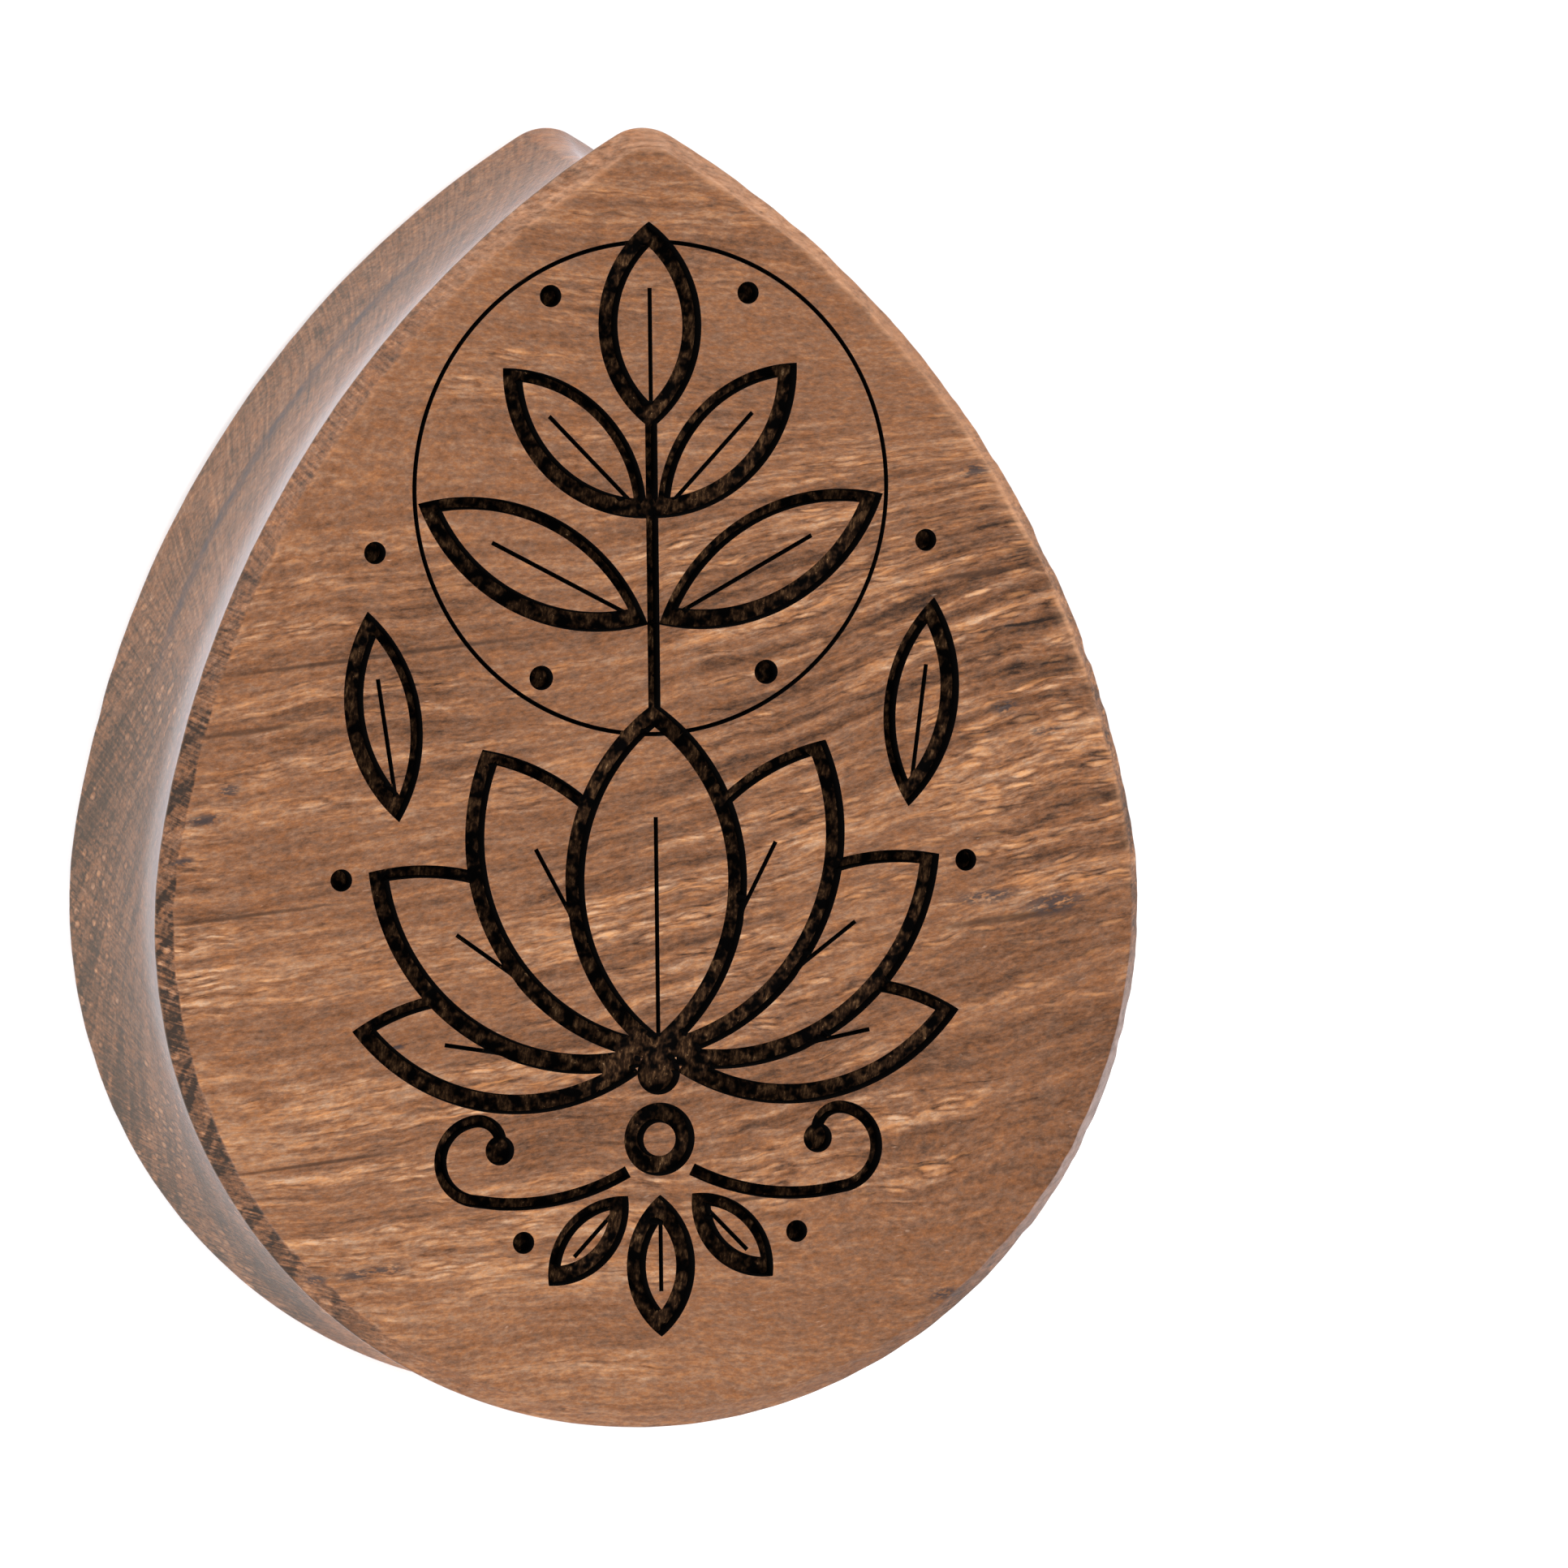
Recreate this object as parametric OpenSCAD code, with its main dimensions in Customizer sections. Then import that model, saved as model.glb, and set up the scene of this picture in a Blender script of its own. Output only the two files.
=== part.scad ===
// Double flared teardrop ear plug, made from one block of wood, with a carved
// lotus and leaf sprig on its front face. It lies on its back face: the carved
// face looks up (+Z) and the point of the drop looks along +Y.

/* [Outline] */
// Width across the flares, twice the radius of the round bottom
plug_w = 37.2; // [32:0.1:44]
// Length over the flares, from the round bottom to the point
plug_l = 47.2; // [44:0.1:58]
// Radius of the rounded point at the flares
point_r = 2; // [1.8:0.1:4]
// Angle above the widest line where the round bottom runs into the flanks
shoulder = 10; // [4:1:16]

/* [Wall] */
// Thickness from the back face to the front face
plug_t = 14; // [8:0.1:20]
// Depth of the waist that the ear lobe lies in
waist_d = 1.3; // [0.6:0.1:1.6]
// Width of the eased edge round each face
edge = 0.8; // [0.4:0.1:1.2]

/* [Carving] */
// Depth of the bold lines
line_d = 0.6; // [0.3:0.1:1.5]
// Width of the bold lines
line_w = 0.72; // [0.5:0.02:1]
// Depth of the hairlines
hair_d = 0.3; // [0.1:0.05:0.5]
// Width of the hairlines
hair_w = 0.16; // [0.12:0.02:0.3]
// Plain wood between the carving and the ends of the face
margin = 3.4; // [2.5:0.1:6]

/* [Hidden] */
$fn = 180;
// How far a cut runs past the surface that it opens
past = 1;

// The outline is three arcs a side. The flank's arc is tangent to the round
// bottom at the shoulder, and to the point's arc.
bottom_r = plug_w / 2;
point_y = plug_l - bottom_r - point_r;
r_gap = bottom_r - point_r;
flank_gap = (point_y * point_y - r_gap * r_gap) / (2 * (r_gap - point_y * sin(shoulder)));
flank_r = bottom_r + flank_gap;
flank_x = -flank_gap * cos(shoulder);
flank_y = -flank_gap * sin(shoulder);
point_turn = atan2(point_y - flank_y, -flank_x);
// From the middle of the outline to the centre of the round bottom
bottom_y = bottom_r - plug_l / 2;

// The waist is one hollow arc between the two eased edges
rim_t = plug_t - 2 * edge;
waist_r = (rim_t * rim_t / 4 + waist_d * waist_d) / (2 * waist_d);

// The carving is laid out in shares of its own height, from a point low on
// the middle line, and fits the face both ways
carving_low = 0.39;
carving_wide = 0.6;
carving_h = min(plug_l - 2 * margin, (plug_w - 2 * margin) / carving_wide);
carving_y = margin - plug_l / 2 + carving_low * carving_h;

// Leaves: foot x and y, turn from straight up, length and width. Each one off
// the middle line is carved again as its mirror image.
x = 0;
y = 1;
turn = 2;
long = 3;
wide = 4;
leaves = [
    [0.000, 0.425, 0, 0.185, 0.096],
    [0.005, 0.345, 44, 0.190, 0.080],
    [0.005, 0.250, 62, 0.240, 0.092],
    [0.238, 0.080, 8, 0.190, 0.070],
    [0.000, -0.262, 180, 0.128, 0.064],
    [0.030, -0.262, 136, 0.108, 0.052]
];
// Petals of the lotus, from the front one to the back ones
petals = [
    [0.000, -0.140, 0, 0.320, 0.170],
    [0.010, -0.140, 28, 0.320, 0.155],
    [0.016, -0.146, 54, 0.310, 0.140],
    [0.018, -0.152, 80, 0.270, 0.108]
];
// Scrolls under the lotus: where one starts and heads, then each arc's radius
// and its turn to the left
scroll_start = [0.030, -0.240];
scroll_heading = -28;
radius = 0;
sweep = 1;
scroll = [
    [0.215, 40],
    [0.036, 165],
    [0.021, 110]
];
// Dots and the ring: x, y, outer and inner radius
outer = 2;
inner = 3;
dots = [
    [0.092, 0.545, 0.010, 0],
    [0.105, 0.205, 0.011, 0],
    [0.257, 0.320, 0.010, 0],
    [0.292, 0.030, 0.010, 0],
    [0.128, -0.300, 0.010, 0],
    [0.000, -0.212, 0.033, 0.015],
    [0.000, -0.152, 0.020, 0]
];
// Where the sprig's stem starts, at the front petal, and ends, in the bud
stem_foot = 0.172;
stem_top = 0.435;
// Share of the bold line that a leaf's thin side, the stem and a scroll have
thin = 0.64;
// Share of the bold line that a scroll's round end has
ball = 1.5;
// Shares of a leaf's length where its vein starts and ends
vein_foot = 0.05;
vein_tip = 0.68;
// Height and radius of the ring of light behind the sprig
halo_y = 0.372;
halo_r = 0.222;
// Largest turn between two points of a scroll's edge
arc_step = 9;

// The shape between two arcs that meet at both ends, its foot at the origin
// and its tip on +Y, with its right and left arcs taken in
module blade(length, width, right = 0, left = 0) {
    arc_r = (length * length + width * width) / (4 * width);
    intersection() {
        translate([width / 2 - arc_r, length / 2])
            circle(r = arc_r - right);
        translate([arc_r - width / 2, length / 2])
            circle(r = arc_r - left);
    }
}

// Children at a row's foot and turn
module at_foot(row) {
    translate([row[x], row[y]] * carving_h)
        rotate([0, 0, -row[turn]])
            children();
}

// Children once on the middle line, or else on both sides of it
module mirrored(row) {
    children();
    if (row[x] > 0)
        mirror([1, 0, 0])
            children();
}

module full_blade(row) {
    at_foot(row)
        blade(row[long] * carving_h, row[wide] * carving_h);
}

// The line round a leaf or petal, bold on its lower side
module blade_line(row) {
    upper = row[x] > 0 ? line_w * thin : line_w;
    difference() {
        full_blade(row);
        at_foot(row)
            blade(row[long] * carving_h, row[wide] * carving_h, line_w, upper);
    }
}

// One side's line of a petal, cut off where the petals in front lie
module petal_line(i) {
    difference() {
        blade_line(petals[i]);
        for (front = [0 : 1 : i - 1])
            mirrored(petals[front])
                full_blade(petals[front]);
    }
}

// Points and headings along arcs that run on from each other, one each step
function run(from, heading, rows, i = 0) =
    i == len(rows) ? [] :
    let (
        steps = ceil(abs(rows[i][sweep]) / arc_step),
        centre = from + rows[i][radius] * [-sin(heading), cos(heading)],
        along = [for (k = [0 : steps]) heading + rows[i][sweep] * k / steps],
        points = [for (a = along) [centre + rows[i][radius] * [sin(a), -cos(a)], a]]
    )
    concat(points, run(points[steps][0], points[steps][1], rows, i + 1));

// A line of even width through points and their headings
module ribbon(points, width) {
    sides = [for (s = [1, -1]) [
        for (p = points) p[0] * carving_h + s * width / 2 * [-sin(p[1]), cos(p[1])]
    ]];
    polygon(concat(sides[0], [for (i = [len(points) - 1 : -1 : 0]) sides[1][i]]));
}

module scroll_line() {
    points = run(scroll_start, scroll_heading, scroll);
    ribbon(points, line_w * thin);
    translate(points[len(points) - 1][0] * carving_h)
        circle(d = line_w * ball);
}

module dot(row) {
    translate([row[x], row[y]] * carving_h)
        difference() {
            circle(r = row[outer] * carving_h);
            if (row[inner] > 0)
                circle(r = row[inner] * carving_h);
        }
}

// The vein of a leaf or petal, along its middle
module vein_line(row) {
    at_foot(row)
        translate([-hair_w / 2, vein_foot * row[long] * carving_h])
            square([hair_w, (vein_tip - vein_foot) * row[long] * carving_h]);
}

module stem_line() {
    translate([-line_w * thin / 2, stem_foot * carving_h])
        square([line_w * thin, (stem_top - stem_foot) * carving_h]);
}

module bold_lines() {
    stem_line();
    for (row = leaves)
        mirrored(row)
            blade_line(row);
    for (i = [0 : len(petals) - 1])
        mirrored(petals[i])
            petal_line(i);
    mirrored(scroll_start)
        scroll_line();
    for (row = dots)
        mirrored(row)
            dot(row);
}

// The wall's profile round one arc of the outline, turned all the way
module turned(centre, arc_r) {
    in_two_steps(centre)
        rotate_extrude()
            difference() {
                square([ceil(arc_r) + past, plug_t]);
                in_two_steps([arc_r, 0])
                    wall_cut();
            }
}

// Moves its children in whole hundredths and then by the rest, which keeps
// the arcs tangent to the last digit
module in_two_steps(to) {
    whole = [for (v = to) round(v * 100) / 100];
    translate(whole)
        translate(to - whole)
            children();
}

// What is taken off outside the flare: the waist's hollow, the eased edges
// and the rest out to beyond the blank
module wall_cut() {
    translate([waist_r - waist_d, plug_t / 2])
        circle(r = waist_r);
    translate([0, -past])
        square([3 * past, plug_t + 2 * past]);
    for (upper = [0, 1])
        translate([0, upper * plug_t])
            mirror([0, upper])
                polygon([[-edge - past, -past], [past, -past], [past, edge + past]]);
}

// Everything carved with a hairline: the ring of light behind the sprig, and
// the veins of the petals and leaves
module hairlines() {
    difference() {
        translate([0, halo_y] * carving_h)
            difference() {
                circle(r = halo_r * carving_h);
                circle(r = halo_r * carving_h - hair_w);
            }
        for (row = leaves)
            mirrored(row)
                full_blade(row);
    }
    for (row = concat(leaves, petals))
        mirrored(row)
            vein_line(row);
}

// The part of the outline's plan that one arc rules
module zone(corners) {
    translate([0, 0, -past])
        linear_extrude(plug_t + 2 * past)
            polygon(corners);
}

// The plug before it is carved: each arc's turned wall, cut where it meets
// the next arc's
module blank() {
    far = 2 * plug_l;
    low = [0, 0];
    high = [0, point_y];
    shoulder_end = far * [cos(shoulder), sin(shoulder)];
    point_end = high + far * [cos(point_turn), sin(point_turn)];
    intersection() {
        turned(low, bottom_r);
        zone([low, shoulder_end, [far, -far], [-far, -far], [-shoulder_end[0], shoulder_end[1]]]);
    }
    for (side = [0, 1])
        mirror([side, 0, 0])
            intersection() {
                turned([flank_x, flank_y], flank_r);
                zone([low, shoulder_end, point_end, high]);
            }
    intersection() {
        turned(high, point_r);
        zone([high, point_end, [0, point_end[1]], [-point_end[0], point_end[1]]]);
    }
}

module plug() {
    color("peru")
        difference() {
            translate([0, bottom_y, 0])
                blank();
            translate([0, carving_y, plug_t - line_d])
                linear_extrude(line_d + past)
                    bold_lines();
            translate([0, carving_y, plug_t - hair_d])
                linear_extrude(hair_d + past)
                    hairlines();
        }
}

plug();
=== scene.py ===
"""A teardrop ear plug: a block of teak with lines burnt into its front face, lying on its back.

The plug's sizes are in millimetres, those of the floor and the lights in metres.
"""

import math

import bpy
import numpy as np
from mathutils import Matrix, Vector, noise
from mathutils.bvhtree import BVHTree
from mathutils.geometry import delaunay_2d_cdt
from mathutils.kdtree import KDTree


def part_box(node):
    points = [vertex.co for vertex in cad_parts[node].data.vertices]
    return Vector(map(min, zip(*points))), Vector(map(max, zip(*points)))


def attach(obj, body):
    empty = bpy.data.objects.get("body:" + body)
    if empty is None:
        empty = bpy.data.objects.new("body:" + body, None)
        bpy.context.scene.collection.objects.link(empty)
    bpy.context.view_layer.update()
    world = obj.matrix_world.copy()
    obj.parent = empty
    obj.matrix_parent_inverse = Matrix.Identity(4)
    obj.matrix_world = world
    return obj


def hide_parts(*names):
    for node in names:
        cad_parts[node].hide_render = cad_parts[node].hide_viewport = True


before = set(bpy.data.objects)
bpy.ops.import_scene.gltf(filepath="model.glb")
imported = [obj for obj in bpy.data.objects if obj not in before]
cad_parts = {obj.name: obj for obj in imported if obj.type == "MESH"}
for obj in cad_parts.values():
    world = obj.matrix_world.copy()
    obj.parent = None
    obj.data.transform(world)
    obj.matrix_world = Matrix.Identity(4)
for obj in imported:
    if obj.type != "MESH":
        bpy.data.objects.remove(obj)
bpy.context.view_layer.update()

# The hollow wall.
# The block is sawn to a drop and its wall hollowed between two flares, then
# the edges of both faces are eased by hand, so no edge is even all round.
MM = 0.001
low, high = (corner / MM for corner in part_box("plug"))
width, length, thickness = high - low
point_r = 2.0
shoulder = math.radians(10)
waist_depth = 1.3
edge = 0.8
arris = 0.1
flat_rim = 0.45
wave_height, wave_length = 0.08, 4
ripple_height, ripple_length = 0.06, 0.9
scuff_depth, scuff_length = 0.05, 0.55
nick_depth, nick_length = 0.18, 1.2
wall_step, fewest_steps = 0.25, 8
waist_rows, arris_rows = 30, 4
longest_arm, arm_run = 0.3, 1.6
arris_fade = (0.25, 0.6, 1, 1, 0.6, 0.25)

bottom_r = width / 2
point_y = length - bottom_r - point_r
r_gap = bottom_r - point_r
flank_gap = (point_y ** 2 - r_gap ** 2) / (2 * (r_gap - point_y * math.sin(shoulder)))
flank_r = bottom_r + flank_gap
flank_centre = (-flank_gap * math.cos(shoulder), -flank_gap * math.sin(shoulder))
point_turn = math.atan2(point_y - flank_centre[1], -flank_centre[0])
middle_y = low.y + bottom_r


def outline_arcs():
    """Centre, radius and angle of each place round the flare, counter-clockwise from the bottom."""
    right = []
    for (cx, cy), r, start, end in (
        ((0, 0), bottom_r, -math.pi / 2, shoulder),
        (flank_centre, flank_r, shoulder, point_turn),
        ((0, point_y), point_r, point_turn, math.pi / 2),
    ):
        count = max(fewest_steps, round(r * (end - start) / wall_step))
        angles = np.linspace(start, end, count, endpoint=False)
        right += [(cx, cy + middle_y, r, a) for a in angles]
    top = (0, point_y + middle_y, point_r, math.pi / 2)
    left = [(-cx, cy, r, math.pi - a) for cx, cy, r, a in right[:0:-1]]
    return np.array(right + [top] + left).T


arc_x, arc_y, arc_r, turn = outline_arcs()


def ring(inset, z):
    """The outline taken in by inset at height z; both may differ round it."""
    reach = arc_r - inset
    plan = arc_x + reach * np.cos(turn), arc_y + reach * np.sin(turn)
    return np.column_stack([*plan, np.broadcast_to(z, turn.shape)])


def waver(points, size, seed):
    """Smooth noise from -1 to 1 at each point, with lumps of that size."""
    return np.array([noise.noise(Vector(p) / size + Vector((seed, 0, 0))) for p in points])


def edge_width(side):
    """Width of the eased edge round face 1 or 2: narrow over the end grain, mostly at the right."""
    flare = ring(0, side)
    along_grain = np.abs(np.sin(turn)) ** 1.5
    right_end = np.maximum(np.cos(turn), 0) ** 2
    even = edge * (0.75 + 0.2 * along_grain - 0.25 * right_end)
    waves = wave_height * waver(flare, wave_length, side)
    ripples = ripple_height * waver(flare, ripple_length, side + 9)
    return np.minimum(edge, even + waves + ripples)


def chips(side):
    """How far the flare of face 1 or 2 is chipped in, mostly right, where the fibres tore out."""
    flare = ring(0, side)
    scuffs = np.abs(waver(flare, scuff_length, side + 20)) * scuff_depth
    nicks = np.clip(waver(flare, nick_length, side + 30) - 0.1, 0, 1) * nick_depth
    return (scuffs + nicks) * np.cos(turn) ** 2 * np.where(np.cos(turn) > 0, 1, 0.2)


def eased(corners, reach):
    """Rows of a profile with its inner corners rounded; a row is an inset and a height."""
    rows = [corners[0]]
    for before, corner, after in zip(corners, corners[1:], corners[2:]):
        arms = []
        for other in (before, after):
            gap = [o - c for o, c in zip(other, corner)]
            share = np.minimum(reach / np.maximum(np.hypot(*gap), 1e-9), longest_arm)
            arms.append([[c + g * share * by for c, g in zip(corner, gap)] for by in (1, arm_run)])
        (near_a, far_a), (near_b, far_b) = arms
        rows.append(far_a)
        for t in np.linspace(0, 1, arris_rows):
            rows.append([
                (1 - t) ** 2 * a + 2 * t * (1 - t) * c + t * t * b
                for a, c, b in zip(near_a, corner, near_b)
            ])
        rows.append(far_b)
    return rows + [corners[-1]]


def wall_rings():
    """Rings of the wall from the front face over its eased edge and the waist to the back face."""
    front, back = edge_width(1), edge_width(2)
    front_chips, back_chips = chips(1), chips(2)
    half = (thickness - front - back) / 2
    bend_r = (half ** 2 + waist_depth ** 2) / (2 * waist_depth)
    waist = []
    for t in np.linspace(1, -1, waist_rows + 1):
        chipped = front_chips * max(0, t) ** 8 + back_chips * max(0, -t) ** 8
        inset = waist_depth - bend_r + np.sqrt(bend_r ** 2 - (half * t) ** 2)
        waist.append([np.maximum(inset, chipped), back + half * (1 + t)])
    top, bottom = np.full(len(turn), thickness), np.zeros(len(turn))
    upper = eased([[front + flat_rim, top], [front, top], waist[0], waist[1]], arris)
    lower = eased([waist[-2], waist[-1], [back, bottom], [back + flat_rim, bottom]], arris)
    return [ring(*row) for row in upper[:-1] + waist[1:-1] + lower[1:]]


def worn_and_highlit_share(rings):
    """Share of the warm line along each face's arris, partly wear and partly a painted highlight,
    at every point of the rings between them.
    """
    share = np.zeros((len(rings), len(turn)))
    fade = np.array(arris_fade)[:, None]
    share[:len(fade)] = share[-len(fade):] = fade
    patchy = 0.6 + 1.2 * waver(np.concatenate(rings), 1.5, 50).reshape(share.shape)
    return (share * patchy).clip(0, 1).ravel()


# The burnt lines.
# A hot beam burns them straight down into the finished face: bold lines to
# one depth with a rough charred floor, hairlines to half of it.
line_depth, hair_depth, least_depth = 0.6, 0.3, 0.1
line_step, fine_step = 0.15, 0.06
corner_turn = math.radians(32)
long_side = 3
lip_height, lip_width = 0.012, 0.05
floor_rows, row_clear = (0.03, 0.07), 0.93
wood_grid, wood_clear = 0.3, 0.6
floor_grid, floor_clear = 0.14, 0.4
lump_height, lump_size = 0.11, 0.45
crumb_height, crumb_size = 0.04, 0.19
char_height = 0.03
smooth_rim, rough_within = 0.08, 0.15
loose = np.random.default_rng(11)

cad_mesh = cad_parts["plug"].data
cad_points = np.array([v.co for v in cad_mesh.vertices]) / MM
cad_points, same = np.unique(np.round(cad_points, 4), axis=0, return_inverse=True)
cad_faces = same.ravel()[np.array([tuple(p.vertices) for p in cad_mesh.polygons])]
cad_tree = BVHTree.FromPolygons([tuple(p) for p in cad_points], cad_faces.tolist())


def rims_at(z):
    """Closed rims of the solid's flat parts at height z, each as plan points."""
    flat = cad_faces[(np.abs(cad_points[cad_faces, 2] - z) < 1e-3).all(1)]
    sides = np.sort(np.concatenate([flat[:, [0, 1]], flat[:, [1, 2]], flat[:, [2, 0]]]), axis=1)
    sides, uses = np.unique(sides, axis=0, return_counts=True)
    beside = {}
    for a, b in sides[uses == 1]:
        beside.setdefault(a, []).append(b)
        beside.setdefault(b, []).append(a)
    rims, used = [], set()
    for start in sorted(beside):
        rim, here = [], start if start not in used else None
        while here is not None:
            rim.append(here)
            used.add(here)
            here = next((p for p in beside[here] if p not in used), None)
        if rim:
            rims.append(cad_points[rim, :2])
    return rims


def followed(rim, step):
    """A rim in even steps, curved through its points and straight along its long sides."""
    ahead = np.roll(rim, -1, 0) - rim
    size = np.hypot(*ahead.T)
    ahead = ahead / size[:, None]
    behind, size_behind = np.roll(ahead, 1, 0), np.roll(size, 1)
    heading = behind * size[:, None] + ahead * size_behind[:, None]
    heading = np.where((size > long_side * size_behind)[:, None], ahead, heading)
    heading = np.where((size_behind > long_side * size)[:, None], behind, heading)
    heading /= np.hypot(*heading.T)[:, None]
    corner = (behind * ahead).sum(1) < math.cos(corner_turn)
    out = []
    for i, start in enumerate(rim):
        j = (i + 1) % len(rim)
        leave, arrive = heading[i], heading[j]
        if corner[i] and corner[j]:
            leave = arrive = ahead[i]
        elif corner[i]:
            leave = 2 * (arrive @ ahead[i]) * ahead[i] - arrive
        elif corner[j]:
            arrive = 2 * (leave @ ahead[i]) * ahead[i] - leave
        for t in np.arange(0, 1, 1 / math.ceil(size[i] / step)):
            a, b, c = 3 * t ** 2 - 2 * t ** 3, t - 2 * t ** 2 + t ** 3, t ** 3 - t ** 2
            out.append(start + a * (rim[j] - start) + size[i] * (b * leave + c * arrive))
    return np.array(out)


def both_sides(rim, gap):
    """Points at that gap on either side of a rim."""
    along = np.roll(rim, -1, 0) - np.roll(rim, 1, 0)
    along /= np.hypot(*along.T)[:, None]
    across = np.column_stack([-along[:, 1], along[:, 0]]) * gap
    return np.concatenate([rim + across, rim - across])


def distance_to(rims):
    """A function that gives each plan point's distance to the nearest of the rims."""
    fine = [followed(rim, fine_step) for rim in rims]
    before, here, after = (
        np.concatenate([np.roll(rim, by, 0) for rim in fine]) for by in (1, 0, -1)
    )
    tree = KDTree(len(here))
    for i, (px, py) in enumerate(here):
        tree.insert((px, py, 0), i)
    tree.balance()

    def measure(points):
        near = [tree.find((px, py, 0))[1] for px, py in points]
        gaps = []
        for a, b in ((before[near], here[near]), (here[near], after[near])):
            side = b - a
            t = np.clip(((points - a) * side).sum(1) / (side ** 2).sum(1), 0, 1)
            gaps.append(np.hypot(*(a + t[:, None] * side - points).T))
        return np.minimum(*gaps)

    return measure


def drop(points):
    """How far below the front face the solid lies at each plan point."""
    above, down = thickness + 5, (0, 0, -1)
    hits = [cad_tree.ray_cast((px, py, above), down)[0] for px, py in points]
    return np.array([0 if hit is None else thickness - hit.z for hit in hits])


def on_face(points, inset):
    """Those of the plan points that lie within the outline taken in by inset."""
    px, py = np.abs(points[:, 0]), points[:, 1] - middle_y
    bottom = np.hypot(px, py) < bottom_r - inset
    flank = np.hypot(px - flank_centre[0], py - flank_centre[1]) < flank_r - inset
    tip = np.hypot(px, py - point_y) < point_r - inset
    past_flank = (py - point_y) * math.cos(point_turn) > px * math.sin(point_turn)
    return points[np.where(py < px * math.tan(shoulder), bottom, np.where(past_flank, tip, flank))]


def scattered(spacing, inset):
    """Rows of points over the face within that inset, each a little off its place."""
    xs, ys = np.arange(low.x, high.x, spacing), np.arange(low.y, high.y, spacing * 0.87)
    grid = np.stack(np.meshgrid(xs, ys), -1)
    grid[1::2, :, 0] += spacing / 2
    off = loose.uniform(-0.2, 0.2, grid.shape) * spacing
    return on_face((grid + off).reshape(-1, 2), inset)


def filled(rims, points):
    """Points and triangles inside the first rim, all rims kept as edges, and the rims' places."""
    kept, start = [], 0
    for rim in rims:
        kept += [(start + i, start + (i + 1) % len(rim)) for i in range(len(rim))]
        start += len(rim)
    plan = [Vector(p) for p in np.concatenate([*rims, points])]
    spots, _, faces, origin, _, _ = delaunay_2d_cdt(plan, kept, [], 1, 1e-6)
    places = {first: new for new, olds in enumerate(origin) for first in olds}
    return np.array(spots), np.array(faces), np.array([places[i] for i in range(start)])


def step_up(t):
    """0 below 0, 1 above 1, and smooth between."""
    t = np.clip(t, 0, 1)
    return t * t * (3 - 2 * t)


def front_face(outline):
    """The front face's points, which are burnt, its triangles, and the outline's own places."""
    mouths = sorted(rims_at(thickness), key=lambda rim: np.ptp(rim[:, 1]))[:-1]
    from_mouth = distance_to(mouths)
    from_floor = distance_to(rims_at(thickness - line_depth))
    rims = [followed(rim, line_step) for rim in mouths]
    rows = []
    for gap in (lip_width, *floor_rows):
        row = np.concatenate([both_sides(rim, gap) for rim in rims])
        row = row[from_mouth(row) > row_clear * gap]
        rows.append(row[(drop(row) > least_depth) | (gap == lip_width)])
    wood = scattered(wood_grid, edge + flat_rim + wood_grid / 2)
    floor = scattered(floor_grid, 2 * edge)
    rows.append(wood[(drop(wood) < least_depth) & (from_mouth(wood) > wood_clear * wood_grid)])
    clear = floor_rows[1] + floor_clear * floor_grid
    rows.append(floor[(drop(floor) > least_depth) & (from_mouth(floor) > clear)])
    spots, faces, places = filled([outline, *rims], np.concatenate(rows))

    inward, depth = from_mouth(spots), drop(spots)
    inward[places[len(outline):]] = 0
    burnt = (depth > least_depth) & (inward > 0)
    bold = burnt & (depth > hair_depth + least_depth)
    sunk = burnt * hair_depth * step_up(inward / floor_rows[1])
    sunk += bold * (line_depth - hair_depth) * step_up(from_floor(spots) / floor_rows[1])
    flat = np.column_stack([spots, np.zeros(len(spots))])
    lumps = lump_height * waver(flat, lump_size, 3) + crumb_height * waver(flat, crumb_size, 4)
    rough = bold * step_up((inward - smooth_rim) / rough_within) * (lumps + char_height)
    z = thickness - sunk + rough - lip_height * (inward == 0)
    return np.column_stack([spots, z]), burnt, faces, places[:len(outline)]


# The skin of the plug.
# It is one closed skin, as the real one is one block: the wall's rings run
# from the burnt front face to the plain sawn back.
back_grid, back_margin = 1.1, 0.5
sharp_angle = math.radians(38)

wall = wall_rings()
face_points, face_burn, face_tris, face_rim = front_face(wall[0][:, :2])
back_spots = scattered(back_grid, edge + flat_rim + back_margin)
back_flat, back_tris, back_rim = filled([wall[-1][:, :2]], back_spots)
back_points = np.column_stack([back_flat, np.zeros(len(back_flat))])
inner_rings = wall[1:-1]
count = len(turn)
wall_start = len(face_points)
back_start = wall_start + count * len(inner_rings)
ring_places = [face_rim]
ring_places += [wall_start + i * count + np.arange(count) for i in range(len(inner_rings))]
ring_places += [back_start + back_rim]
quads = [
    np.column_stack([a, b, np.roll(b, -1), np.roll(a, -1)])
    for a, b in zip(ring_places, ring_places[1:])
]
points = np.concatenate([face_points, *inner_rings, back_points])
points = np.clip(points, np.array(low), np.array(high)) * MM
faces = face_tris.tolist() + np.concatenate(quads).tolist()
faces += (back_start + back_tris[:, ::-1]).tolist()
mesh = bpy.data.meshes.new("carved_plug")
mesh.from_pydata(points.tolist(), [], faces)
mesh.polygons.foreach_set("use_smooth", [True] * len(mesh.polygons))
mesh.set_sharp_from_angle(angle=sharp_angle)
# The warm line along each arris, partly wear and partly a painted highlight.
arris_line = mesh.attributes.new("rubbed", "FLOAT", "POINT")
arris_line.data.foreach_set("value", np.concatenate([
    np.zeros(len(face_points)), worn_and_highlit_share(inner_rings), np.zeros(len(back_points)),
]))


def shown(name, data):
    """An object that shows a mesh, light or camera in the scene."""
    made = bpy.data.objects.new(name, data)
    bpy.context.scene.collection.objects.link(made)
    return made


plug = shown("carved_plug", mesh)


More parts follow.
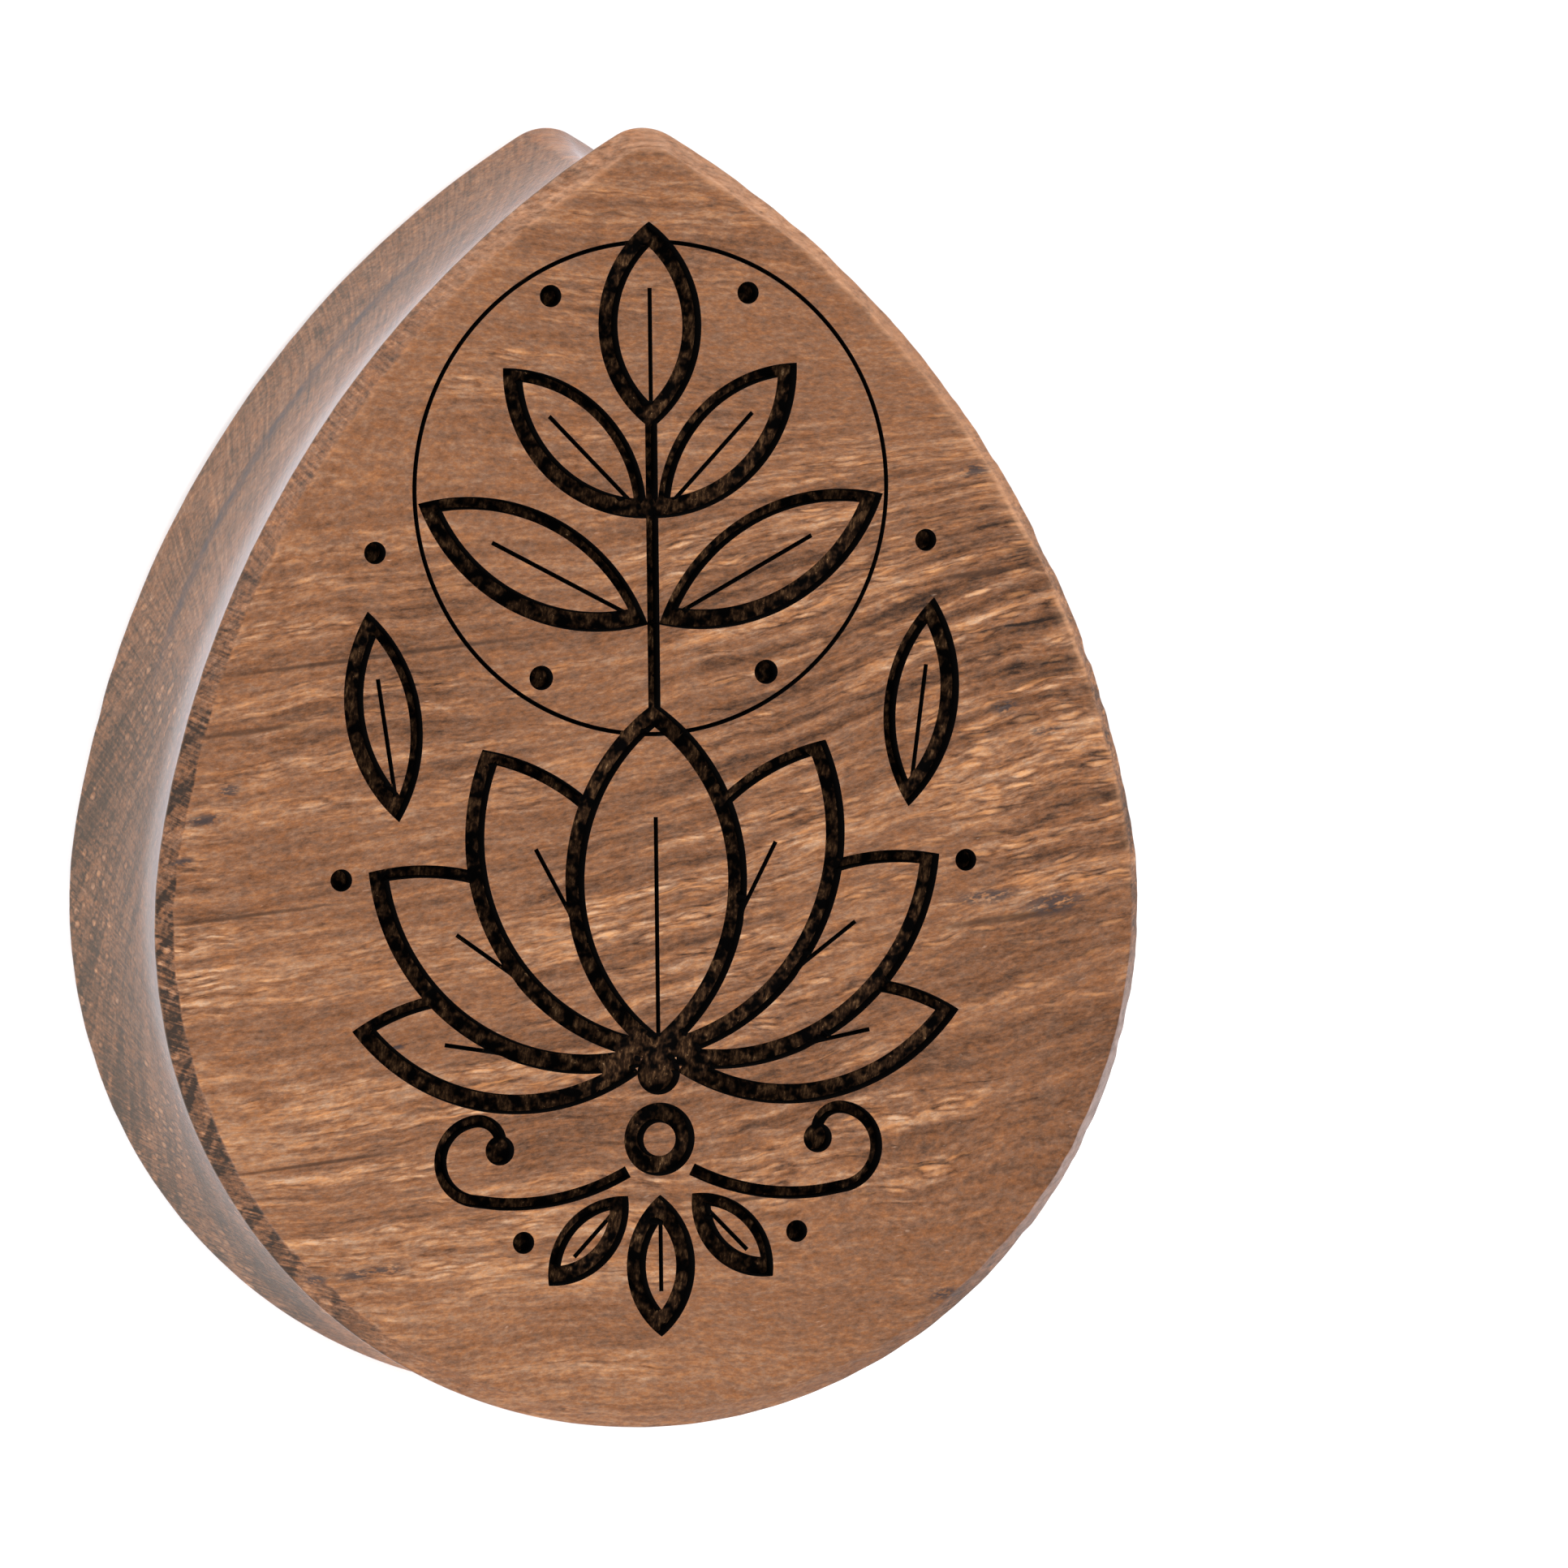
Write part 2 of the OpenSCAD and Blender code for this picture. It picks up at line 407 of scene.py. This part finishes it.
# The teak.
# Its fibres run across the face and climb a little to the right, and its rings
# stand at a slant, so the left and right ends of the plug show the end grain.
class Wire:
    """One output in a material. Operators add Math and Vector Math nodes; node adds any other."""

    def __init__(self, tree, socket=None):
        self.tree, self.socket = tree, socket

    def node(self, kind, settings=None, out=0, **inputs):
        """A new node of that kind. An input goes by its name, or a letter and its number, as i0."""
        made = self.tree.nodes.new(kind)
        for name, value in (settings or {}).items():
            if name == "stops":
                ramp = made.color_ramp.elements
                while len(ramp) < len(value):
                    ramp.new(0.5)
                for stop, (at, colour) in zip(ramp, value):
                    stop.position, stop.color = at, colour
            else:
                setattr(made, name, value)
        for name, value in inputs.items():
            by_number = name[1:].isdigit()
            into = made.inputs[int(name[1:]) if by_number else name.replace("_", " ")]
            if isinstance(value, Wire):
                self.tree.links.new(value.socket, into)
            else:
                into.default_value = value
        return Wire(self.tree, made.outputs[out])

    def beside(self, out):
        """Another output of the same node."""
        return Wire(self.tree, self.socket.node.outputs[out])

    def join(self, operation, a, b):
        """A Math node on two values, or a Vector Math node if one of them is a vector."""
        if not any(isinstance(v, Wire) and v.socket.type == "VECTOR" for v in (a, b)):
            return self.node("ShaderNodeMath", {"operation": operation}, i0=a, i1=b)
        a, b = ((v,) * 3 if isinstance(v, (int, float)) else v for v in (a, b))
        return self.node("ShaderNodeVectorMath", {"operation": operation}, i0=a, i1=b)

    def __add__(self, other):
        return self.join("ADD", self, other)

    def __radd__(self, other):
        return self.join("ADD", other, self)

    def __sub__(self, other):
        return self.join("SUBTRACT", self, other)

    def __rsub__(self, other):
        return self.join("SUBTRACT", other, self)

    def __mul__(self, other):
        return self.join("MULTIPLY", self, other)

    def __rmul__(self, other):
        return self.join("MULTIPLY", other, self)

    def __truediv__(self, other):
        return self.join("DIVIDE", self, other)

    def __rtruediv__(self, other):
        return self.join("DIVIDE", other, self)

    def __abs__(self):
        return self.node("ShaderNodeMath", {"operation": "ABSOLUTE"}, i0=self)

    def split(self):
        """The three parts of a vector."""
        first = self.node("ShaderNodeSeparateXYZ", i0=self)
        return first, first.beside(1), first.beside(2)

    def place(self, x, y, z):
        """A vector of three values."""
        return self.node("ShaderNodeCombineXYZ", i0=x, i1=y, i2=z)

    def rise(self, start, end):
        """0 below start, 1 above end, and smooth between."""
        settings = {"interpolation_type": "SMOOTHSTEP"}
        return self.node("ShaderNodeMapRange", settings, i0=self, i1=start, i2=end)

    def blend(self, other, share, kind="MIX"):
        """This colour turned to the other by that share."""
        settings = {"data_type": "RGBA", "blend_type": kind, "clamp_factor": True}
        return self.node("ShaderNodeMix", settings, 2, i0=share, i6=self, i7=other)

    def ramp(self, *stops):
        """The colour at this value, between stops of a value and a colour."""
        return self.node("ShaderNodeValToRGB", {"stops": stops}, i0=self)

    def cloud(self, detail=2.0, rough=0.5):
        """Noise about 0.5, in lumps about one unit of this vector long."""
        inputs = {"Vector": self, "Scale": 1.0, "Detail": detail, "Roughness": rough}
        return self.node("ShaderNodeTexNoise", **inputs)

    def cells(self):
        """Distance to the nearest of scattered points, one to a unit cube, and its own number."""
        near = self.node("ShaderNodeTexVoronoi", Vector=self, Scale=1.0)
        return near, near.beside("Color").split()[0]

    def bumped(self):
        """The surface's normal when this height is on it."""
        return self.node("ShaderNodeBump", Strength=0.5, Distance=0.08 * MM, Height=self)


def linear(red, green, blue):
    """A colour as a shader takes it, from 0 to 255 as a screen shows it."""
    shares = (((v / 255 + 0.055) / 1.055) ** 2.4 for v in (red, green, blue))
    return (*shares, 1)


def new_finish(name):
    """A new material, and the place on the plug in millimetres."""
    material = bpy.data.materials.new(name)
    material.use_nodes = True
    place = Wire(material.node_tree).node("ShaderNodeTexCoord", out="Object")
    return material, place * (1 / MM)


teak, spot = new_finish("teak")
x, y, z = spot.split()
bend = ((spot * (1 / 15)).cloud(1.0) - 0.5) * 1.5 + ((spot * (1 / 5)).cloud(1.0) - 0.5) * 0.5
low_end = 1 - y.rise(-19.0, -11.0)
along = y - x * (0.12 - y.rise(6.0, 17.0) * 0.19 - low_end * 0.1) + bend
figured = y.rise(-16.0, -4.0) * (1 - y.rise(7.0, 16.0)) * x.rise(-3.0, 16.0)
rise = along - figured * 3.4
lean = along - figured * 2.4
rings = rise * 0.53 - z * 0.85
rays = rise * 0.85 + z * 0.53
ragged = (x.place(x / 0.45, y / 0.2, z / 0.2).cloud(2.0, 0.6) - 0.5) * 0.1
ragged = ragged + (x.place(x / 1.3, y / 0.7, z / 0.7).cloud(0.0) - 0.5) * 0.3


def streaks(long, wide, detail=2.0, rough=0.5, shift=0.0, height=along):
    """Noise about 0, drawn out along the fibres, in lumps of that size."""
    return x.place(x / long + shift, height / wide, z / wide).cloud(detail, rough) - 0.5


season = x.place(x / 26, rings / 0.7, rays / 5).cloud(2.0, 0.55) - 0.5
band = streaks(12, 0.8, 1.0, 0.5, 7.0, rise)
streak = streaks(6, 0.38, 3.0, 0.66, 1.0, lean + ragged)
strand = streaks(1.8, 0.21, 4.0, 0.66, 3.0, lean + ragged)
blotch = streaks(0.8, 0.5, 3.0, 0.6, 17.0, lean)
grain = streaks(0.3, 0.15, 4.0, 0.75, 5.0)
hue = streaks(0.2, 0.11, 4.0, 0.8, 9.0) * 0.7 + streaks(1.1, 0.35, 3.0, 0.65, 13.0, lean) * 0.5
glint = streaks(0.8, 0.14, 3.0, 0.6, 41.0, lean + ragged).rise(0.16, 0.32)
gold = streaks(1.5, 0.17, 3.0, 0.6, 61.0, lean + ragged).rise(0.04, 0.26)
crack = streaks(5.5, 0.2, 2.0, 0.6, 21.0, along + ragged * 0.5).rise(0.17, 0.24)
open_zone = (season + band * 1.2).rise(-0.1, 0.14)

# Short flecks lie along the fibres, pale with a dark rim, most of them in the figured right half.
fleck_out, fleck_kind = x.place(x / 1.6, (along + ragged) / 0.27, z / 0.27).cells()
fleck_kind = fleck_kind.rise(0.25, 0.6)
fleck = (1 - fleck_out.rise(0.08, 0.38)) * fleck_kind
fleck_rim = fleck_out.rise(0.3, 0.42) * (1 - fleck_out.rise(0.44, 0.58)) * fleck_kind
flecked = open_zone * (1 - figured * 0.6) + figured * 0.6

# All of this adds up to how light the face is, with less contrast in its calm parts.
calm = 1 - (spot * (1 / 9) + 3.1).cloud(1.0).rise(0.46, 0.58) * 0.45
calm = calm - (y - x * 0.3).rise(4.0, 12.0) * 0.4 - low_end * 0.35
tone = season * 0.36 + band * (0.26 + figured * 0.36) + streak * (0.7 + figured * 0.1)
tone = tone + strand * (0.5 + open_zone * 0.7) + blotch * (0.12 + figured * 0.2)
tone = tone + (fleck * 0.26 - fleck_rim * 0.16) * flecked - crack * 0.2 + (open_zone - 0.5) * 0.08
# It is also painted lighter towards the lower left and a little at the upper left, as where more
# light falls, and painted darker towards the right, most at the lower right, as painted shade.
tone = 0.457 + tone * calm + grain * 0.7 + (1 - (x * 0.8 + y).rise(-34.0, -10.0)) * 0.11
tone = tone + (y - x).rise(18.0, 28.0) * 0.03 - (x - y * 0.4).rise(10.0, 26.0) * 0.06

# Where the surface cuts the fibres across, it shows the rings, the fine rays square to them
# and the pores as dots.
facing_x, _, facing_z = spot.node("ShaderNodeNewGeometry", out="Normal").split()
across, upward = abs(facing_x), abs(facing_z)
run_out = x.rise(-2.0, 6.0) * y.rise(-22.0, -12.0)
cut_end = across.rise(0.25, 0.65) * (1 - run_out * 0.7)
comb = x.place(x / 4, rings / 1.8, rays / 0.1).cloud(2.0, 0.6) - 0.5
pore_out, pore_kind = x.place(x / 3, rise / 0.42, z / 0.42).cells()
pore_kind = pore_kind.rise(0.25, 0.75) * (1 - y.rise(2.0, 9.0) * 0.85)
pore_dot = (1 - pore_out.rise(0.2, 0.42)) * pore_kind
pore_rim = pore_out.rise(0.34, 0.46) * (1 - pore_out.rise(0.5, 0.64)) * pore_kind
growth = x.place(x / 26, rings / 0.42, rays / 5).cloud(1.0) - 0.5
above_middle, upper_half = y.rise(1.0, 6.0), y.rise(1.0, 8.0)
late = (1 - (growth + comb * 0.3).rise(-0.1, 0.03)) * (1 - above_middle * 0.8)
end_tone = 0.31 + season * 0.4 - late * (0.08 + upward * 0.22)
end_tone = end_tone + comb * (0.4 + upper_half * 0.25 + upward * (0.4 - above_middle * 0.3))
end_tone = end_tone + grain + blotch * 0.2 + upper_half * 0.06
end_tone = end_tone + (pore_dot * 0.26 - pore_rim * 0.14) * (1 - late * 0.5)
tone = tone + (end_tone - tone) * cut_end

wood = tone.ramp(
    (0.02, linear(34, 22, 15)),
    (0.14, linear(58, 38, 26)),
    (0.3, linear(92, 61, 42)),
    (0.48, linear(122, 83, 59)),
    (0.66, linear(150, 109, 80)),
    (0.9, linear(186, 146, 114)),
)
tint = (hue + 0.5).ramp((0.38, (1.12, 0.98, 0.76, 1)), (0.62, (0.9, 1.03, 1.2, 1)))
wood = wood.blend(tint, 1.0, "MULTIPLY")
side_grain = 1 - cut_end
wood = wood.blend(linear(200, 136, 84), gold * open_zone * calm * side_grain * 0.55)
wood = wood.blend(linear(206, 174, 152), glint * side_grain * 0.4)
wood = wood.blend(linear(206, 142, 84), fleck * flecked * (figured * 0.3 + 0.06) * side_grain)
# The end grain is greyed, partly its own duller colour and partly a painted pale veil of reflected
# light.
wood = wood.blend(linear(112, 100, 88), cut_end * (1 - upward.rise(0.4, 0.6) * 0.8) * 0.25)

spot_climb, spot_depth = 0.1, 1.5


def along_fibres(rows):
    """How much of a long spot lies here, for rows of its place, half length and half width."""
    total = 0.0
    for spot_x, spot_y, half_long, half_wide in rows:
        off_x, off_y = x - spot_x, y - spot_y
        off_y = (off_y - off_x * spot_climb) / half_wide
        away = x.place(off_x / half_long, off_y, (z - thickness) / spot_depth)
        away = away.node("ShaderNodeVectorMath", {"operation": "LENGTH"}, "Value", i0=away)
        total = (1 - away.rise(0.3, 1.2)) + total
    return total


# A few dark resin lines, and blue-black mineral marks where the tree took them up.
resin = along_fibres((
    (-15.4, -4.4, 3.6, 0.09), (-10.0, 4.8, 7.5, 0.1), (-15.2, 2.2, 2.6, 0.12),
    (12.2, 7.2, 1.8, 0.14), (13.6, -5.4, 3.4, 0.2), (-13.0, -13.4, 4.0, 0.08),
    (4.5, -15.2, 5.0, 0.1),
))
wood = wood.blend(linear(58, 38, 26), resin * (0.75 + strand))
speck = streaks(0.45, 0.18, 2.0, 0.75, 31.0).rise(-0.1, 0.04)
marks = along_fibres((
    (-15.9, 0.1, 0.5, 0.3), (-16.8, -0.9, 1.0, 0.25), (-17.6, -2.4, 0.5, 0.2),
    (12.6, -4.6, 1.6, 0.3), (15.2, -4.9, 1.5, 0.5), (12.3, 11.0, 0.9, 0.3),
    (-12.9, -17.6, 0.5, 0.25), (-10.9, -17.4, 1.6, 0.25), (10.8, -19.1, 0.7, 0.25),
    (13.4, 2.3, 0.6, 0.35), (14.9, 1.4, 0.7, 0.2), (-9.8, -9.3, 0.4, 0.1),
))
wood = wood.blend(linear(46, 44, 47), marks * speck * 0.8)

# The eased edge at the upper right is painted lighter and warmer, as where the key light falls,
# and the arris carries a warm line, partly wear and partly a painted highlight. The edge is
# painted paler at the point, a painted highlight, and at the lower right, a painted reflection.
easing = upward.rise(0.4, 0.55) * (1 - upward.rise(0.85, 0.95))
# Painted light: the eased edge at the upper right, lighter and warmer where the key light falls.
lit_warm_edge = easing * x.rise(-2.0, 6.0) * y.rise(3.0, 11.0)
wood = wood.blend(linear(168, 118, 82), lit_warm_edge * (0.4 + blotch + strand))
# The warm line along the arris: partly wear, partly a painted highlight.
rubbed = spot.node("ShaderNodeAttribute", {"attribute_name": "rubbed"}, "Fac")
rubbed = rubbed * (0.5 + strand + blotch * 0.8)
rubbed = rubbed * (x.rise(-6.0, 4.0) + (y - x).rise(18.0, 26.0) * 0.25)
wood = wood.blend(linear(196, 146, 110), rubbed * y.rise(-7.0, 1.0))
# A painted highlight on the eased edge at the point.
wood = wood.blend(linear(190, 148, 120), easing * y.rise(15.0, 21.0) * (0.14 + strand))
# A painted pale reflection on the eased edge at the lower right.
pale_reflection_edge = easing * x.rise(4.0, 10.0) * y.rise(-21.0, -13.0) * (1 - y.rise(-10.0, -4.5))
wood = wood.blend(linear(176, 158, 154), pale_reflection_edge * (0.5 + strand))

# The wall is buffed, most of all in the front half of its hollow, and a dark line runs
# along its upper left.
polish = 1 - upward.rise(0.42, 0.62)
level = z + bend * 0.4
dark_wall_line = level.rise(3.1, 3.4) * (1 - level.rise(3.45, 4.0))
dark_wall_line = dark_wall_line * y.rise(2.0, 7.0) * (1 - x.rise(-8.0, -2.0))
wood = wood.blend(linear(70, 62, 60), dark_wall_line * polish * (0.75 + blotch * 2))
relief = grain * (1 - polish * 0.7)
satin = 0.5 + streak * 0.2 - polish * 0.15
coat = 0.08 + polish * (1 - facing_z.rise(-0.1, 0.07)) * 0.92


def finished(material, outputs, **constants):
    """Links a finish's outputs to its shader and sets what is the same all over it."""
    shader = material.node_tree.nodes["Principled BSDF"]
    for name, wire in outputs.items():
        material.node_tree.links.new(wire.socket, shader.inputs[name])
    for name, value in constants.items():
        shader.inputs[name.replace("_", " ")].default_value = value


outputs = {"Base Color": wood, "Roughness": satin, "Coat Weight": coat, "Normal": relief.bumped()}
finished(teak, outputs, Specular_IOR_Level=0.1, Coat_Roughness=0.28)
polished = teak.copy()
polished.name = "polished_teak"
finished(
    polished, {}, Coat_Roughness=0.2, Coat_IOR=1.9,
    Sheen_Weight=0.7, Sheen_Roughness=0.22, Sheen_Tint=(0.9, 0.88, 1, 1),
)

# The char.
# The beam leaves brown char in small lumps on the floor of a line, with pits in
# it, and burns the pits and the line's walls black.
char, spot = new_finish("char")
x, y, z = spot.split()
facing_z = spot.node("ShaderNodeNewGeometry", out="Normal").split()[2]
lump = (spot * (1 / 0.5)).cloud(2.0, 0.6)
ash = x.place((x - y * 0.15) / 0.13, y / 0.4, z / 0.2).cloud(3.0, 0.7)
dust = (spot * (1 / 0.12)).cloud(2.0, 0.7).rise(0.66, 0.76)
char_tone = lump.rise(0.4, 0.6) * (0.36 + (ash - 0.5) * 1.8)
char_tone = (char_tone + dust * lump.rise(0.42, 0.55) * 0.45) * facing_z.rise(0.6, 0.9)
burnt = char_tone.ramp(
    (0.0, linear(3, 2, 2)),
    (0.3, linear(48, 32, 21)),
    (0.6, linear(92, 66, 44)),
    (0.95, linear(168, 136, 100)),
)
relief = lump * 3 + ash * 0.7
outputs = {"Base Color": burnt, "Normal": relief.bumped()}
finished(char, outputs, Roughness=1.0, Specular_IOR_Level=0.03)

# The finishes on the skin.
# The faces and their eased edges are left dull, everything steeper is buffed,
# and char covers whatever the beam has burnt.
wall_below = 0.55
finishes = [teak, char, polished]
for finish in finishes:
    mesh.materials.append(finish)
facing = np.zeros((len(mesh.polygons), 3))
mesh.polygons.foreach_get("normal", facing.ravel())
buffed, dull, charred = (finishes.index(finish) for finish in (polished, teak, char))
finish_of = np.where(np.abs(facing[:, 2]) < wall_below, buffed, dull)
finish_of[:len(face_tris)] = np.where(face_burn[face_tris].any(1), charred, dull)
mesh.polygons.foreach_set("material_index", finish_of)
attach(plug, "root")
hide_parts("plug")

# The floor.
# It is a plain white sheet of stiff paper that the plug lies on, wide enough
# for every view, and it shines a little with the light that comes through it.
half_side = 1.5
floor_mesh = bpy.data.meshes.new("floor")
corners = [(sx * half_side, sy * half_side, 0) for sx, sy in ((-1, -1), (1, -1), (1, 1), (-1, 1))]
floor_mesh.from_pydata(corners, [], [(0, 1, 2, 3)])
floor = shown("floor", floor_mesh)
paper = bpy.data.materials.new("white_sheet")
paper.use_nodes = True
finished(
    paper, {}, Base_Color=(0.96, 0.96, 0.96, 1), Roughness=0.9, Specular_IOR_Level=0.1,
    Emission_Color=(0.82, 0.8, 1, 1), Emission_Strength=0.04,
)
floor_mesh.materials.append(paper)

# The light.
# A white tent stands all round, with a soft box high on the right, one low on
# the left and one close to the floor at the upper left. All point at the plug.
sky = bpy.data.worlds.new("tent")
sky.use_nodes = True
sky.node_tree.nodes["Background"].inputs["Color"].default_value = (1, 1, 1, 1)
sky.node_tree.nodes["Background"].inputs["Strength"].default_value = 0.85
bpy.context.scene.world = sky
for name, place, size, power in (
    ("key", (0.33, 0.38, 0.3), 0.22, 2.4),
    ("fill", (-0.3, -0.3, 0.3), 0.25, 2.1),
    ("side", (-0.4, 0.35, 0.1), 0.3, 1.7),
):
    box = bpy.data.lights.new(name, "AREA")
    box.size, box.energy = size, power
    lamp = shown(name, box)
    lamp.location = place
    lamp.rotation_euler = (-Vector(place)).to_track_quat("-Z", "Y").to_euler()

# The camera.
# It stands far off and nearly square to the carved face, a little to the left
# of its middle and above it.
side_turn, lift, roll = (math.radians(a) for a in (17.41, 3.61, 0.63))
far = 400
aim = Vector((6.747, -0.51, far))
optics = bpy.data.cameras.new("camera")
optics.sensor_width = 36
optics.lens = 249.8
optics.clip_start, optics.clip_end = 0.01, 10
camera = shown("camera", optics)
turned = Matrix.Rotation(roll, 3, "Z") @ Matrix.Rotation(lift, 3, "X")
axes = (turned @ Matrix.Rotation(side_turn, 3, "Y")).transposed()
middle = Vector(((low.x + high.x) / 2, (low.y + high.y) / 2, thickness / 2))
camera.matrix_world = Matrix.Translation((middle + axes @ aim) * MM) @ axes.to_4x4()
bpy.context.scene.camera = camera
bpy.context.scene.view_settings.view_transform = "Standard"
